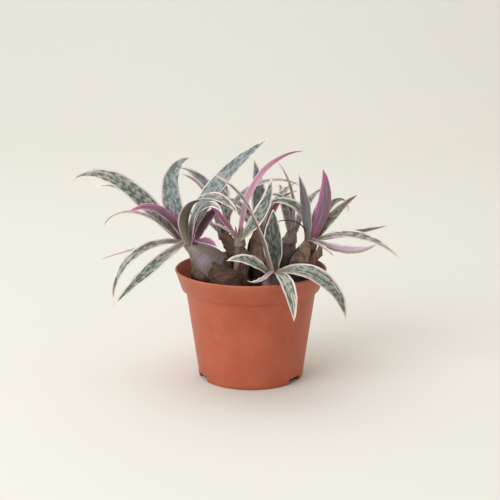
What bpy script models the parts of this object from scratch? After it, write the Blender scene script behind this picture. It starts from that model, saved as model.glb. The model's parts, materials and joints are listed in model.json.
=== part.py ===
"""A potted silver squill: a clump of small bulbs with channelled, arching leaves in a thin nursery pot.

Lengths are in metres and angles in degrees. The origin is the middle of the pot's foot, +Z is up and -Y is
the front. A heading turns from +X (0) through +Y (90, the back) to -X (180). A rise is the angle above level.
"""

import math
from dataclasses import dataclass, field

import bmesh
import bpy
from mathutils import Matrix, Vector

MM = 0.001
GAP = 0.3 * MM

# The pot: a 12 cm nursery pot, turned about Z, with its rim's outer diameter as the leading size.
RIM_RADIUS = 60 * MM
POT_HEIGHT = 88 * MM
COLLAR_HEIGHT = 16 * MM
COLLAR_FOOT_RADIUS = 55 * MM
SHOULDER_RADIUS = 51.8 * MM
FOOT_RADIUS = 42 * MM
WALL = 1.3 * MM
FOOT_CHAMFER = 0.8 * MM
POT_SEGMENTS = 72

# Three drain notches are cut out of the corner between the wall and the floor.
NOTCH_HEADINGS = (-155, -35, 85)
NOTCH_SPAN = 20
NOTCH_HEIGHT = 4.5 * MM
NOTCH_DEPTH = 8 * MM

# The soil fills the pot past the collar's ledge and is a little higher in the middle than at the wall.
SOIL_EDGE_HEIGHT = 75.5 * MM
SOIL_TOP = 77 * MM
SOIL_FLAT_RADIUS = 50 * MM

# A leaf's stations along the blade, its thickness at the midrib and the margin, and its narrow base.
LEAF_STATIONS = 12
PATH_STEPS = 6
MIDRIB_THICKNESS = 1.2 * MM
MARGIN_THICKNESS = 0.5 * MM
LEAF_BASE_WIDTH = 3.0 * MM
WIDEST_AT = 0.38
TIP_THINNING = 0.35

BULB_SIDES = 14
# A bulb's outline: how far up its axis, how much of its girth, and how much of its neck, each ring has.
BULB_OUTLINE = (
    (0.00, 0.62, 0), (0.12, 0.88, 0), (0.28, 1.00, 0), (0.48, 0.95, 0),
    (0.66, 0.70, 0.15), (0.83, 0.30, 0.65), (1.00, 0, 1.0),
)

COLOURS = {
    "pot_plastic": ((0.45, 0.11, 0.05), 0.45),
    "potting_soil": ((0.03, 0.018, 0.012), 0.95),
    "bulb_purple": ((0.33, 0.22, 0.33), 0.45),
    "bulb_brown": ((0.13, 0.05, 0.025), 0.7),
    "leaf_silver": ((0.30, 0.36, 0.32), 0.4),
    "leaf_pink": ((0.50, 0.17, 0.33), 0.4),
}


@dataclass
class Leaf:
    """One blade, which leaves its crown at a heading and a rise and arches over as it goes.

    late says how much of the arch waits for the tip. tier lifts the base towards the middle of the crown, and
    seat is the place on the crown's ring where the base stands.
    """

    name: str
    heading: float
    rise: float
    arch: float
    length: float
    width: float
    late: float = 1.5
    tier: int = 0
    seat: float = None
    sweep: float = 0
    roll: float = 0
    twist: float = 0
    fold: float = 20
    material: str = "leaf_silver"

    def seat_heading(self):
        if self.seat is not None:
            return self.seat
        return self.heading if self.rise < 90 else self.heading + 180


@dataclass
class Bulb:
    """One bulb, whose foot stands on the soil and whose neck leans to its crown. Sizes are in millimetres.

    lean says how much of the leaning waits for the neck, and shoulder how full the bulb stays near its top.
    """

    name: str
    foot: tuple
    crown: tuple
    girth: float
    neck: float
    material: str = "bulb_purple"
    lean: float = 2
    shoulder: float = 0
    leaves: list = field(default_factory=list)


BULBS = [
    Bulb("left_bulb", (-31, 3), (-50, 0, 109), 16, 6.2, lean=3.5, shoulder=0.4, leaves=[
        Leaf("left_leaf_long_spotted", 176, 48, 101, 110, 15.5, late=3.4, seat=148, roll=-58),
        Leaf("left_leaf_behind", 150, 38, 62, 102, 9, late=2.4, seat=122, roll=-35),
        Leaf("left_leaf_magenta", -160, 60, 98, 57, 11, late=2, tier=1, seat=-160, roll=-40,
             material="leaf_pink"),
        Leaf("left_leaf_pale", -164, 44, 104, 70, 8, late=2.4, seat=172, roll=-12, material="leaf_pink"),
        Leaf("left_leaf_level", -172, -7, 12, 62, 6, seat=-162, roll=-5),
        Leaf("left_leaf_drooping", -160, 8, 106, 84, 10, late=1.15, seat=-136, roll=-30),
        Leaf("left_leaf_low_front", -140, -24, 14, 79, 11, late=1, seat=-110, roll=-35),
        Leaf("left_leaf_upright", -12, 109, 104, 74, 18.5, late=3, tier=1, seat=130, roll=82),
        Leaf("left_leaf_longest", 6, 84, 50, 103, 16, late=0.55, tier=1, seat=35, roll=50),
        Leaf("left_leaf_front_arch", -22, 120, 180, 78, 13, late=1, seat=-82, roll=-62, twist=135),
        Leaf("left_leaf_hanging", -42, 78, 150, 56, 10, late=2.4, seat=-52, roll=48),
        Leaf("left_leaf_low_right", -48, 12, 30, 26, 9, seat=-24, roll=20, material="leaf_pink"),
        Leaf("left_leaf_short_pink", -8, 64, 24, 36, 13, seat=10, roll=45, material="leaf_pink"),
    ]),
    Bulb("purple_bulb", (-9, 20), (-22, 17, 110), 8, 3.8, leaves=[
        Leaf("purple_leaf_pink_upright", 172, 80, 66, 62, 9, late=2, seat=-134, roll=50,
             material="leaf_pink"),
        Leaf("purple_leaf_back_left", 160, 86, 84, 72, 10, late=1.5, tier=1, seat=140, roll=-55),
        Leaf("purple_leaf_cream_arch", 3, 84, 112, 84, 8, late=1.2, tier=1, seat=-20, roll=25),
        Leaf("purple_leaf_back", 96, 58, 50, 76, 11, seat=62),
        Leaf("purple_leaf_low_back", 150, 36, 52, 50, 10, seat=118),
    ]),
    Bulb("front_brown_bulb", (-15, -31), (-29, -28, 99), 14.5, 4, material="bulb_brown"),
    Bulb("middle_brown_bulb", (7, 0), (4, -2, 122), 8.5, 4, material="bulb_brown"),
    Bulb("middle_bulb", (-8, -10), (-9, -13, 116), 5, 3.4, leaves=[
        Leaf("middle_leaf_right", -10, 46, -46, 54, 13, late=1.4, seat=-50, roll=62),
        Leaf("middle_leaf_thin_magenta", 12, 82, 80, 88, 7.5, late=1.6, tier=1, seat=60, roll=30,
             material="leaf_pink"),
        Leaf("middle_leaf_strip", 172, 56, 10, 26, 6, seat=165, roll=-40, material="leaf_pink"),
        Leaf("middle_leaf_green_strip", -142, 36, 12, 26, 6, seat=-130, roll=-30),
    ]),
    Bulb("front_right_bulb", (17, -34), (17, -38, 93), 8.5, 4, leaves=[
        Leaf("front_leaf_long_left", 178, 74, 50, 88, 9, late=2.4, tier=1, seat=-150, roll=50, twist=-95),
        Leaf("front_leaf_broad_upright", 100, 84, 16, 47, 19, seat=70, roll=-45),
        Leaf("front_leaf_right_arch", -16, 20, 100, 69, 16.5, late=0.9, seat=0, roll=30),
        Leaf("front_leaf_down", -70, 12, 96, 50, 12, late=0.9, seat=-62),
        Leaf("front_leaf_left", -170, 42, 60, 34, 10.5, seat=-176, roll=-45),
        Leaf("front_leaf_edge_on", -130, -24, -60, 28, 6, seat=-122),
    ]),
    Bulb("right_bulb", (40, 8), (48, 9, 108), 11, 4.6, leaves=[
        Leaf("right_leaf_grey_upright", -150, 86, 14, 55, 9.5, seat=-122, roll=35, material="leaf_pink"),
        Leaf("right_leaf_magenta_upright", -6, 66, -44, 58, 14, tier=1, seat=-28, roll=-60,
             material="leaf_pink"),
        Leaf("right_leaf_spotted_back", 58, 60, 20, 48, 12, seat=72, roll=20),
        Leaf("right_leaf_rising", 20, 52, 22, 49, 9, seat=38, roll=40),
        Leaf("right_leaf_curled_dark", 42, 56, 165, 60, 7, late=3, seat=40, roll=30,
             material="leaf_pink", tier=1),
        Leaf("right_leaf_level", 6, 7, -8, 60, 8, seat=4, roll=25),
        Leaf("right_leaf_long", -20, 26, 68, 71, 9.5, late=1, seat=-30, roll=30),
        Leaf("right_leaf_curling_up", -34, -16, -52, 58, 9.5, seat=-66, roll=-60),
        Leaf("right_leaf_thin_reddish", -52, -6, 22, 28, 5, seat=-98, material="leaf_pink"),
        Leaf("right_leaf_left_arch", 160, 92, 138, 58, 9.5, late=1.2, tier=1, seat=130, roll=-40),
        Leaf("right_leaf_back_low", 76, 20, 50, 42, 10, seat=118),
    ]),
    Bulb("back_middle_bulb", (9, 26), (8, 27, 109), 9, 4.2, leaves=[
        Leaf("back_leaf_upright", 160, 91, 14, 60, 12.5, tier=1, seat=120, roll=-60),
        Leaf("back_leaf_small_arch", 176, 80, 112, 52, 8, seat=-172, roll=-25),
        Leaf("back_leaf_red_tip", 40, 80, 80, 50, 6, late=1.2, seat=0, material="leaf_pink"),
        Leaf("back_leaf_rear", 96, 48, 60, 76, 11),
        Leaf("back_leaf_rear_left", 140, 44, 56, 62, 10),
        Leaf("back_leaf_rear_right", 52, 60, 62, 66, 10, seat=50),
    ]),
    Bulb("back_right_bulb", (29, 27), (33, 29, 108), 8, 4, leaves=[
        Leaf("back_right_leaf_thin", 172, 100, 46, 62, 6, late=1.2, tier=1, seat=-100, roll=-20),
        Leaf("back_right_leaf_curved", 176, 94, 140, 48, 8, late=2, tier=1, seat=100, roll=-30),
        Leaf("back_right_leaf_rear", 98, 50, 56, 70, 11),
        Leaf("back_right_leaf_side", 52, 58, 62, 62, 10),
    ]),
]


def clear_scene():
    for scene_object in list(bpy.data.objects):
        bpy.data.objects.remove(scene_object, do_unlink=True)


def material(name):
    found = bpy.data.materials.get(name)
    if found:
        return found
    colour, roughness = COLOURS[name]
    made = bpy.data.materials.new(name)
    made.use_nodes = True
    shader = made.node_tree.nodes["Principled BSDF"]
    shader.inputs["Base Color"].default_value = (*colour, 1)
    shader.inputs["Roughness"].default_value = roughness
    shader.inputs["Metallic"].default_value = 0
    return made


def add_object(name, shape, material_name, smooth_angle=40):
    """Turn a bmesh into a named object with one material, its faces pointing out."""
    bmesh.ops.recalc_face_normals(shape, faces=shape.faces[:])
    mesh = bpy.data.meshes.new(name)
    shape.to_mesh(mesh)
    shape.free()
    mesh.shade_smooth()
    mesh.set_sharp_from_angle(angle=math.radians(smooth_angle))
    mesh.materials.append(material(material_name))
    made = bpy.data.objects.new(name, mesh)
    bpy.context.collection.objects.link(made)
    return made


def turned(profile, segments):
    """Spin an outline of (radius, height) points about Z. The first and last points lie on the axis."""
    shape = bmesh.new()
    points = [shape.verts.new((radius, 0, height)) for radius, height in profile]
    edges = [shape.edges.new(pair) for pair in zip(points, points[1:])]
    bmesh.ops.spin(shape, geom=points + edges, axis=(0, 0, 1), cent=(0, 0, 0),
                   steps=segments, angle=math.tau)
    bmesh.ops.remove_doubles(shape, verts=shape.verts[:], dist=0.01 * MM)
    return shape


def pot_outline():
    ledge = POT_HEIGHT - COLLAR_HEIGHT
    return [
        (0, 0),
        (FOOT_RADIUS - FOOT_CHAMFER, 0),
        (FOOT_RADIUS, FOOT_CHAMFER),
        (SHOULDER_RADIUS, ledge - WALL),
        (COLLAR_FOOT_RADIUS, ledge),
        (RIM_RADIUS, POT_HEIGHT - WALL / 2),
        (RIM_RADIUS - WALL / 3, POT_HEIGHT),
        (RIM_RADIUS - WALL, POT_HEIGHT),
        (COLLAR_FOOT_RADIUS - WALL, ledge + WALL),
        (SHOULDER_RADIUS - WALL, ledge),
        (FOOT_RADIUS - WALL, WALL),
        (0, WALL),
    ]


def soil_outline():
    ledge = POT_HEIGHT - COLLAR_HEIGHT
    collar_slope = (RIM_RADIUS - COLLAR_FOOT_RADIUS) / COLLAR_HEIGHT
    inner_collar = COLLAR_FOOT_RADIUS - WALL - 2 * GAP
    edge_radius = inner_collar + collar_slope * (SOIL_EDGE_HEIGHT - ledge - WALL)
    return [
        (0, WALL + GAP),
        (FOOT_RADIUS - WALL - 2 * GAP, WALL + GAP),
        (SHOULDER_RADIUS - WALL - 2 * GAP, ledge + GAP),
        (inner_collar, ledge + WALL + 2 * GAP),
        (edge_radius, SOIL_EDGE_HEIGHT),
        (SOIL_FLAT_RADIUS, SOIL_TOP),
        (0, SOIL_TOP),
    ]


def notch_cutter(heading):
    """A wedge that takes the pot's lower corner away over the notch's span."""
    inner, outer = FOOT_RADIUS - NOTCH_DEPTH, FOOT_RADIUS + NOTCH_DEPTH
    below = -NOTCH_HEIGHT
    shape = bmesh.new()
    corners = []
    for radius, side in ((inner, -1), (outer, -1), (outer, 1), (inner, 1)):
        angle = math.radians(heading + side * NOTCH_SPAN / 2)
        corners.append(shape.verts.new((radius * math.cos(angle), radius * math.sin(angle), below)))
    floor = shape.faces.new(corners)
    raised = bmesh.ops.extrude_face_region(shape, geom=[floor])["geom"]
    bmesh.ops.translate(shape, vec=(0, 0, NOTCH_HEIGHT - below),
                        verts=[part for part in raised if isinstance(part, bmesh.types.BMVert)])
    cutter = add_object(f"notch_cutter_{heading}", shape, "pot_plastic")
    cutter.hide_render = True
    cutter.display_type = "WIRE"
    return cutter


def make_pot():
    pot = add_object("nursery_pot", turned(pot_outline(), POT_SEGMENTS), "pot_plastic")
    for heading in NOTCH_HEADINGS:
        cut = pot.modifiers.new("drain notch", "BOOLEAN")
        cut.operation = "DIFFERENCE"
        cut.solver = "EXACT"
        cut.object = notch_cutter(heading)


def make_bulb(bulb):
    """Rings about an axis that starts upright on the soil and leans over to the crown."""
    foot = Vector((bulb.foot[0] * MM, bulb.foot[1] * MM, SOIL_TOP + GAP))
    crown = Vector(bulb.crown) * MM
    height = crown.z - foot.z
    shape = bmesh.new()
    rings = []
    for up, of_girth, of_neck in BULB_OUTLINE:
        lean = up ** bulb.lean
        centre = Vector((
            foot.x + (crown.x - foot.x) * lean,
            foot.y + (crown.y - foot.y) * lean,
            foot.z + height * up,
        ))
        radius = (bulb.girth * of_girth ** (1 - bulb.shoulder) + bulb.neck * of_neck) * MM
        ring = []
        for side in range(BULB_SIDES):
            angle = math.tau * side / BULB_SIDES
            ring.append(shape.verts.new(centre + radius * Vector((math.cos(angle), math.sin(angle), 0))))
        rings.append(ring)
    for lower, upper in zip(rings, rings[1:]):
        for side in range(BULB_SIDES):
            after = (side + 1) % BULB_SIDES
            shape.faces.new((lower[side], lower[after], upper[after], upper[side]))
    shape.faces.new(rings[0])
    shape.faces.new(rings[-1])
    add_object(bulb.name, shape, bulb.material)


def leaf_start(bulb, leaf):
    """Low leaves stand outside the neck, and the upper tier stands on the crown, nearer its middle."""
    angle = math.radians(leaf.seat_heading())
    outward = Vector((math.cos(angle), math.sin(angle), 0))
    if leaf.tier == 0:
        reach = bulb.neck + 1.0
        lift = 0.4
    else:
        reach = bulb.neck * 0.5
        lift = 1.6
    return Vector(bulb.crown) * MM + outward * reach * MM + Vector((0, 0, lift * MM))


def half_width(leaf, along):
    """A lance shape: narrow at the base, widest before the middle, then a long point."""
    base = LEAF_BASE_WIDTH / (leaf.width * MM)
    if along < WIDEST_AT:
        share = base + (1 - base) * math.sin(math.pi / 2 * along / WIDEST_AT)
    else:
        share = math.cos(math.pi / 2 * (along - WIDEST_AT) / (1 - WIDEST_AT)) ** 0.85
    return share * leaf.width * MM / 2


def leaf_frame(leaf, along):
    """The blade's forward, side and upper directions at a place along it."""
    rise = math.radians(leaf.rise - leaf.arch * along ** leaf.late)
    heading = math.radians(leaf.heading + leaf.sweep * along)
    forward = Vector((math.cos(rise) * math.cos(heading), math.cos(rise) * math.sin(heading), math.sin(rise)))
    side = Vector((-math.sin(heading), math.cos(heading), 0))
    side = Matrix.Rotation(math.radians(leaf.roll + leaf.twist * along), 3, forward) @ side
    return forward, side, forward.cross(side)


def make_leaf(bulb, leaf):
    """Six points to a ring: the top and underside of the left margin, the midrib and the right margin."""
    centre = leaf_start(bulb, leaf)
    fold = math.radians(leaf.fold)
    step = leaf.length * MM / (LEAF_STATIONS * PATH_STEPS)
    shape = bmesh.new()
    rings = []
    for station in range(LEAF_STATIONS):
        along = station / LEAF_STATIONS
        _, side, upper = leaf_frame(leaf, along)
        half = half_width(leaf, along)
        thinning = 1 - (1 - TIP_THINNING) * along
        midrib = upper * MIDRIB_THICKNESS / 2 * thinning
        margin = upper * MARGIN_THICKNESS / 2 * thinning
        left = centre + half * (math.cos(fold) * side + math.sin(fold) * upper)
        right = centre + half * (-math.cos(fold) * side + math.sin(fold) * upper)
        top_side = (left + margin, centre + midrib, right + margin)
        underside = (right - margin, centre - midrib, left - margin)
        ring = top_side + underside
        rings.append([shape.verts.new(point) for point in ring])
        for small in range(PATH_STEPS):
            forward, _, _ = leaf_frame(leaf, along + (small + 0.5) / (LEAF_STATIONS * PATH_STEPS))
            centre = centre + forward * step
    tip = shape.verts.new(centre)
    for near, far in zip(rings, rings[1:]):
        for corner in range(6):
            after = (corner + 1) % 6
            shape.faces.new((near[corner], near[after], far[after], far[corner]))
    for corner in range(6):
        shape.faces.new((rings[-1][corner], rings[-1][(corner + 1) % 6], tip))
    left_top, mid_top, right_top, right_under, mid_under, left_under = rings[0]
    shape.faces.new((left_top, mid_top, mid_under, left_under))
    shape.faces.new((mid_top, right_top, right_under, mid_under))
    add_object(leaf.name, shape, leaf.material, smooth_angle=60)


def main():
    clear_scene()
    make_pot()
    add_object("potting_soil", turned(soil_outline(), POT_SEGMENTS), "potting_soil")
    for bulb in BULBS:
        make_bulb(bulb)
        for leaf in bulb.leaves:
            make_leaf(bulb, leaf)


main()
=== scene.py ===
# %% [markdown]
# # A potted silver squill
#
# A silver squill is a small bulb plant. Its bulbs sit half out of the soil and each one carries a
# rosette of fleshy, channelled leaves: silver with dark green blotches above, olive or purple
# below, with pale margins. The clump here grows in a thin plastic nursery pot.
#
# The sizes and places are settled already, in a frame of plain solids. This lesson dresses that
# frame: each plain solid is read, and a finer piece that follows it takes its place.

# %% Load the frame
import json
import math
import random

import bmesh
import bpy
import numpy as np
from mathutils import Euler, Matrix, Vector, noise


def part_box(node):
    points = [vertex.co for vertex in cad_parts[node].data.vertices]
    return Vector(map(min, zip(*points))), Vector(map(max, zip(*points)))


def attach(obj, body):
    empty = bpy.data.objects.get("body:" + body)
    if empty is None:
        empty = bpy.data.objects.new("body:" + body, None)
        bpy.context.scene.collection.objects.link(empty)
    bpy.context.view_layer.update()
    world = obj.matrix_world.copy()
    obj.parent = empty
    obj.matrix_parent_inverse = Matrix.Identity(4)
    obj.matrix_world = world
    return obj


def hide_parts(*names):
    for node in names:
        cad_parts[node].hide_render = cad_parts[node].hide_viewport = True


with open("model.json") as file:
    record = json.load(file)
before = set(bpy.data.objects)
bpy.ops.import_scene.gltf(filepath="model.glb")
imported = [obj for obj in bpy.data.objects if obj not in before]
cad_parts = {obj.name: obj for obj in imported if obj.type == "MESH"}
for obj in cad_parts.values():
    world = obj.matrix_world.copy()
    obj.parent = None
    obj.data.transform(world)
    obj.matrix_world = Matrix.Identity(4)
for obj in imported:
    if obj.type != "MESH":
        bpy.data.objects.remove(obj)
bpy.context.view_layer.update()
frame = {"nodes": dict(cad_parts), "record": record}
nodes = frame["nodes"]
slot_of = {part["node"]: part["material_slot"] for part in frame["record"]["subparts"]}
bpy.ops.object.select_all(action="DESELECT")
MM = 0.001

# %% [markdown]
# ## Camera
#
# A product picture of a small plant is usually taken from a little above the rim with a portrait
# lens. The lens length sets how much of the frame the plant fills, and the distance sets how
# strongly the pot tapers.

# %% Camera
CAMERA_DISTANCE = 0.80
CAMERA_RISE = math.radians(12.85)
CAMERA_SIDE = -0.0007
AIM_HEIGHT = 0.1019
LENS = 72.8

bpy.ops.object.camera_add()
camera = bpy.context.object
camera.name = "camera"
camera.data.lens = LENS
camera.data.sensor_width = 36
camera.location = (
    CAMERA_SIDE,
    -CAMERA_DISTANCE * math.cos(CAMERA_RISE),
    AIM_HEIGHT + CAMERA_DISTANCE * math.sin(CAMERA_RISE),
)
camera.rotation_euler = (math.pi / 2 - CAMERA_RISE, 0, 0)
bpy.context.scene.camera = camera
bpy.ops.object.select_all(action="DESELECT")
print(f"camera {CAMERA_DISTANCE} m away and {math.degrees(CAMERA_RISE):.1f} degrees up, lens {LENS} mm")

# %% [markdown]
# ## Shader maths
#
# A pattern in a material is arithmetic on coordinates. Written as nodes it soon becomes hard to
# read, so a small class wraps a socket. An expression such as `1 - mask` then adds the Math node
# that works it out.


# %% A socket that does sums
COLOUR_OUTPUT = 2


class Wire:
    """One output socket in a material. Sums of wires add Math nodes."""

    def __init__(self, tree, socket):
        self.tree = tree
        self.socket = socket

    def node(self, kind, settings=None, output=0, **inputs):
        """Add a node, set its settings, feed its inputs, and give one of its outputs."""
        made = self.tree.nodes.new(kind)
        for key, value in (settings or {}).items():
            setattr(made, key, value)
        for key, value in inputs.items():
            place = int(key[1:]) if key[0] == "i" and key[1:].isdigit() else key.replace("_", " ")
            feed(self.tree, value, made.inputs[place])
        return Wire(self.tree, made.outputs[output])

    def sum(self, operation, *values):
        """A Math node's result. Its sockets are given by number, because they share one name."""
        places = {f"i{number}": value for number, value in enumerate(values)}
        return self.node("ShaderNodeMath", {"operation": operation}, **places)

    def __add__(self, other):
        return self.sum("ADD", self, other)

    def __sub__(self, other):
        return self.sum("SUBTRACT", self, other)

    def __rsub__(self, other):
        return self.sum("SUBTRACT", other, self)

    def __mul__(self, other):
        return self.sum("MULTIPLY", self, other)

    __radd__ = __add__
    __rmul__ = __mul__

    def step(self, low, high):
        """0 below low, 1 above high, and a soft slope between."""
        settings = {"interpolation_type": "SMOOTHSTEP"}
        return self.node("ShaderNodeMapRange", settings, Value=self, From_Min=low, From_Max=high)

    def mix(self, low, high):
        """A colour between two colours, by this wire."""
        settings = {"data_type": "RGBA"}
        return self.node("ShaderNodeMix", settings, COLOUR_OUTPUT, i0=self, i6=low, i7=high)


def feed(tree, value, socket):
    if isinstance(value, Wire):
        tree.links.new(value.socket, socket)
    elif isinstance(value, tuple) and socket.type == "RGBA":
        socket.default_value = (*value, 1)
    else:
        socket.default_value = value


print("a wire can be added, subtracted, multiplied, stepped and mixed")

# %% [markdown]
# ## Finishes
#
# A finish is a material with one Principled shader. What stays the same all over is set on the
# shader's socket, and what changes over the surface is a wire. The patterns start from the point's
# own place, from values stored on the mesh, or from noise, so the class offers those three.


# %% One finish
OBJECT_OUTPUT = 3
FACTOR_OUTPUT = 2


class Finish:
    """A material with one Principled shader, and the coordinates that its pattern reads."""

    def __init__(self, name, roughness=0.5, **constants):
        self.material = bpy.data.materials.new(name)
        self.material.use_nodes = True
        self.tree = self.material.node_tree
        self.shader = self.tree.nodes["Principled BSDF"]
        self.set(Roughness=roughness, **constants)

    def set(self, **inputs):
        for key, value in inputs.items():
            feed(self.tree, value, self.shader.inputs[key.replace("_", " ")])

    def start(self):
        return Wire(self.tree, None)

    def place(self):
        """Object coordinates: the point's own place in metres."""
        return self.start().node("ShaderNodeTexCoord", output=OBJECT_OUTPUT)

    def attribute(self, name):
        """A value that is stored on the mesh's points."""
        return self.start().node("ShaderNodeAttribute", {"attribute_name": name}, FACTOR_OUTPUT)

    def noise(self, vector, scale, detail=4, roughness=0.55):
        settings = {"noise_dimensions": "3D"}
        return self.start().node("ShaderNodeTexNoise", settings, 0, Vector=vector, Scale=scale,
                                 Detail=detail, Roughness=roughness)

    def bump(self, height, distance, strength=1.0):
        normal = self.start().node("ShaderNodeBump", None, 0, Height=height, Distance=distance,
                                   Strength=strength)
        self.set(Normal=normal)


def linear(red, green, blue):
    """A colour as a screen shows it, 0 to 255, in the linear light that a shader works in."""
    def one(value):
        share = value / 255
        return share / 12.92 if share <= 0.04045 else ((share + 0.055) / 1.055) ** 2.4
    return one(red), one(green), one(blue)


print(f"half grey on a screen is {linear(128, 128, 128)[0]:.3f} in linear light")

# %% [markdown]
# ## Leaves: reading the frame
#
# In the frame a leaf is a row of six-cornered rings that ends in one point, the tip. Starting at
# the tip and walking outwards along the edges meets one ring after another, so the midrib, both
# margins and the upper side can all be read back from the plain solid, whichever way the leaf lies.


# %% Merge a node's loose triangles
MERGE_DISTANCE = 0.005 * MM


def merged_copy(node):
    """The node's points and their neighbours, after loose triangles are joined."""
    shape = bmesh.new()
    shape.from_mesh(nodes[node].data)
    bmesh.ops.remove_doubles(shape, verts=shape.verts[:], dist=MERGE_DISTANCE)
    shape.verts.ensure_lookup_table()
    points = np.array([vert.co[:] for vert in shape.verts])
    near = [[edge.other_vert(vert).index for edge in vert.link_edges] for vert in shape.verts]
    shape.free()
    return points, near


print(f"the longest leaf has {len(merged_copy('left_leaf_long_spotted')[0])} points in the frame")

# %% [markdown]
# ### From rings to stations
#
# Each ring has six points: an upper and a lower one at the midrib and at either margin. The two of
# a pair stand closest together, and the pair that is nearest to the other two is the midrib. That
# turns a ring into a station, which is all that the finer blade needs.


# %% Read a leaf's stations
RING_POINTS = 6


def walk_rings(start, near):
    """Rings of points, each one edge further from the start."""
    seen = {start}
    rings = []
    front = [start]
    while front:
        following = sorted({other for point in front for other in near[point]} - seen)
        seen.update(following)
        if following:
            rings.append(following)
        front = following
    return rings


def is_tip(point, near):
    """The tip joins the six points of the last ring, each of which meets two of the others."""
    around = near[point]
    if len(around) != RING_POINTS:
        return False
    return all(sum(other in near[each] for other in around) == 2 for each in around)


def read_leaf(node):
    """Stations from base to tip: midrib, left margin, right margin and the upper side's direction."""
    points, near = merged_copy(node)
    layouts = [(tip, walk_rings(tip, near)) for tip in range(len(points)) if is_tip(tip, near)]
    tip, rings = next(
        (tip, rings) for tip, rings in layouts if all(len(ring) == RING_POINTS for ring in rings)
    )
    stations = []
    for ring in reversed(rings):
        pairs = []
        left_over = list(ring)
        while left_over:
            first, second = min(
                ((a, b) for a in left_over for b in left_over if a < b),
                key=lambda pair: np.linalg.norm(points[pair[0]] - points[pair[1]]),
            )
            left_over.remove(first)
            left_over.remove(second)
            pairs.append((points[first] + points[second]) / 2)
        spans = [sum(np.linalg.norm(pair - other) for other in pairs) for pair in pairs]
        middle = pairs.pop(int(np.argmin(spans)))
        stations.append((middle, pairs[0], pairs[1]))
    return stations, points[tip]


print(f"the longest leaf has {len(read_leaf('left_leaf_long_spotted')[0])} stations and a tip")

# %% [markdown]
# ## Leaves: a finer blade
#
# A real blade is a smooth channel, thick at the midrib and thin at its margins, which run in small
# waves. A grid is the natural start for one: its rows follow the leaf and its columns cross it. The
# rows are laid along a smooth curve through the stations, and Solidify then gives the grid two
# faces and an edge, each with a finish.


# %% A smooth line and a grid
def smooth_through(values, shares):
    """A smooth curve through the values, read at shares of its length from 0 to 1."""
    values = np.asarray(values, float)
    padded = np.vstack([2 * values[0] - values[1], values, 2 * values[-1] - values[-2]])
    places = np.clip(np.asarray(shares) * (len(values) - 1), 0, len(values) - 1 - 1e-6)
    first = places.astype(int)
    t = (places - first)[:, None]
    a, b, c, d = (padded[first + offset] for offset in range(4))
    return 0.5 * (2 * b + (c - a) * t + (2 * a - 5 * b + 4 * c - d) * t**2 + (3 * b - a - 3 * c + d) * t**3)


def grid_object(name, columns, rows):
    """A new grid and its points, numbered row by row, with its UV map."""
    bpy.ops.object.select_all(action="DESELECT")
    bpy.ops.mesh.primitive_grid_add(x_subdivisions=columns, y_subdivisions=rows, size=1, calc_uvs=True)
    made = bpy.context.object
    made.name = name
    return made


def put_points(mesh, points):
    mesh.vertices.foreach_set("co", np.asarray(points, np.float32).ravel())
    mesh.update()


def add_values(mesh, name, values):
    layer = mesh.attributes.new(name, "FLOAT", "POINT")
    layer.data.foreach_set("value", np.asarray(values, np.float32))


def apply_modifier(made, kind, **settings):
    modifier = made.modifiers.new(kind.title(), kind)
    for key, value in settings.items():
        setattr(modifier, key, value)
    bpy.context.view_layer.objects.active = made
    bpy.ops.object.modifier_apply(modifier=modifier.name)


print("a line can be smoothed, and a grid can be added, shaped, marked and finished")

# %% [markdown]
# ### The lines of a blade
#
# A blade is drawn by three things that change along it: its middle line, its half width with a
# direction, and how far its margins are lifted into a channel. At the base it widens and runs on a
# little, so that it clasps its neighbours. The tip keeps a hair's width, because a row of points in
# one place would leave bad faces.


# %% The lines of a blade
BLADE_ROWS = 44
BLADE_SHARES = np.linspace(0, 1, BLADE_ROWS + 1)
TIP_HALF_WIDTH = 0.14 * MM
CLASP_LENGTH = 3.5 * MM
CLASP_REACH = 0.10
CLASP_WIDENING = 0.35
WIDENING_REACH = 0.22
NO_LENGTH = 1e-9


def blade_lines(node):
    """The blade's middle line, half width, margin lift and upper direction, one of each to a row."""
    stations, tip = read_leaf(node)
    middle = np.array([station[0] for station in stations] + [tip])
    half = np.array([(station[1] - station[2]) / 2 for station in stations] + [np.zeros(3)])
    lift = np.array([(station[1] + station[2]) / 2 - station[0] for station in stations] + [np.zeros(3)])
    # The two margins were read in no set order, so each station's side is turned to match the one before it.
    for i in range(1, len(half)):
        if half[i] @ half[i - 1] < 0:
            half[i] *= -1
    # The grid's faces look the way of side crossed with forward, and that has to be the upper side.
    if np.cross(half[1], middle[2] - middle[1]) @ lift[1] < 0:
        half *= -1
    line = smooth_through(middle, BLADE_SHARES)
    half = smooth_through(half, BLADE_SHARES)
    lift = smooth_through(lift, BLADE_SHARES)
    base_direction = line[1] - line[0]
    base_direction /= np.linalg.norm(base_direction)
    clasp = np.clip(1 - BLADE_SHARES / CLASP_REACH, 0, 1)[:, None]
    line = line - base_direction * CLASP_LENGTH * clasp
    widening = np.clip(1 - BLADE_SHARES / WIDENING_REACH, 0, 1)[:, None] ** 2
    half *= 1 + CLASP_WIDENING * widening
    half[-1] = half[-2] / np.linalg.norm(half[-2]) * TIP_HALF_WIDTH
    upper = lift / np.maximum(np.linalg.norm(lift, axis=1, keepdims=True), NO_LENGTH)
    upper[-1] = upper[-2]
    return line, half, lift, upper


print(f"a blade has {BLADE_ROWS} rows along it")

# %% [markdown]
# ### The points of a blade
#
# Each row crosses the leaf as a shallow channel, and its margins rise and fall in small waves.
# Every point also keeps where it is on its blade, in millimetres, so that a finish can follow the
# leaf as it bends. A vertex group tells Solidify to leave the midrib thick and the margins and tip
# thin.


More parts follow.
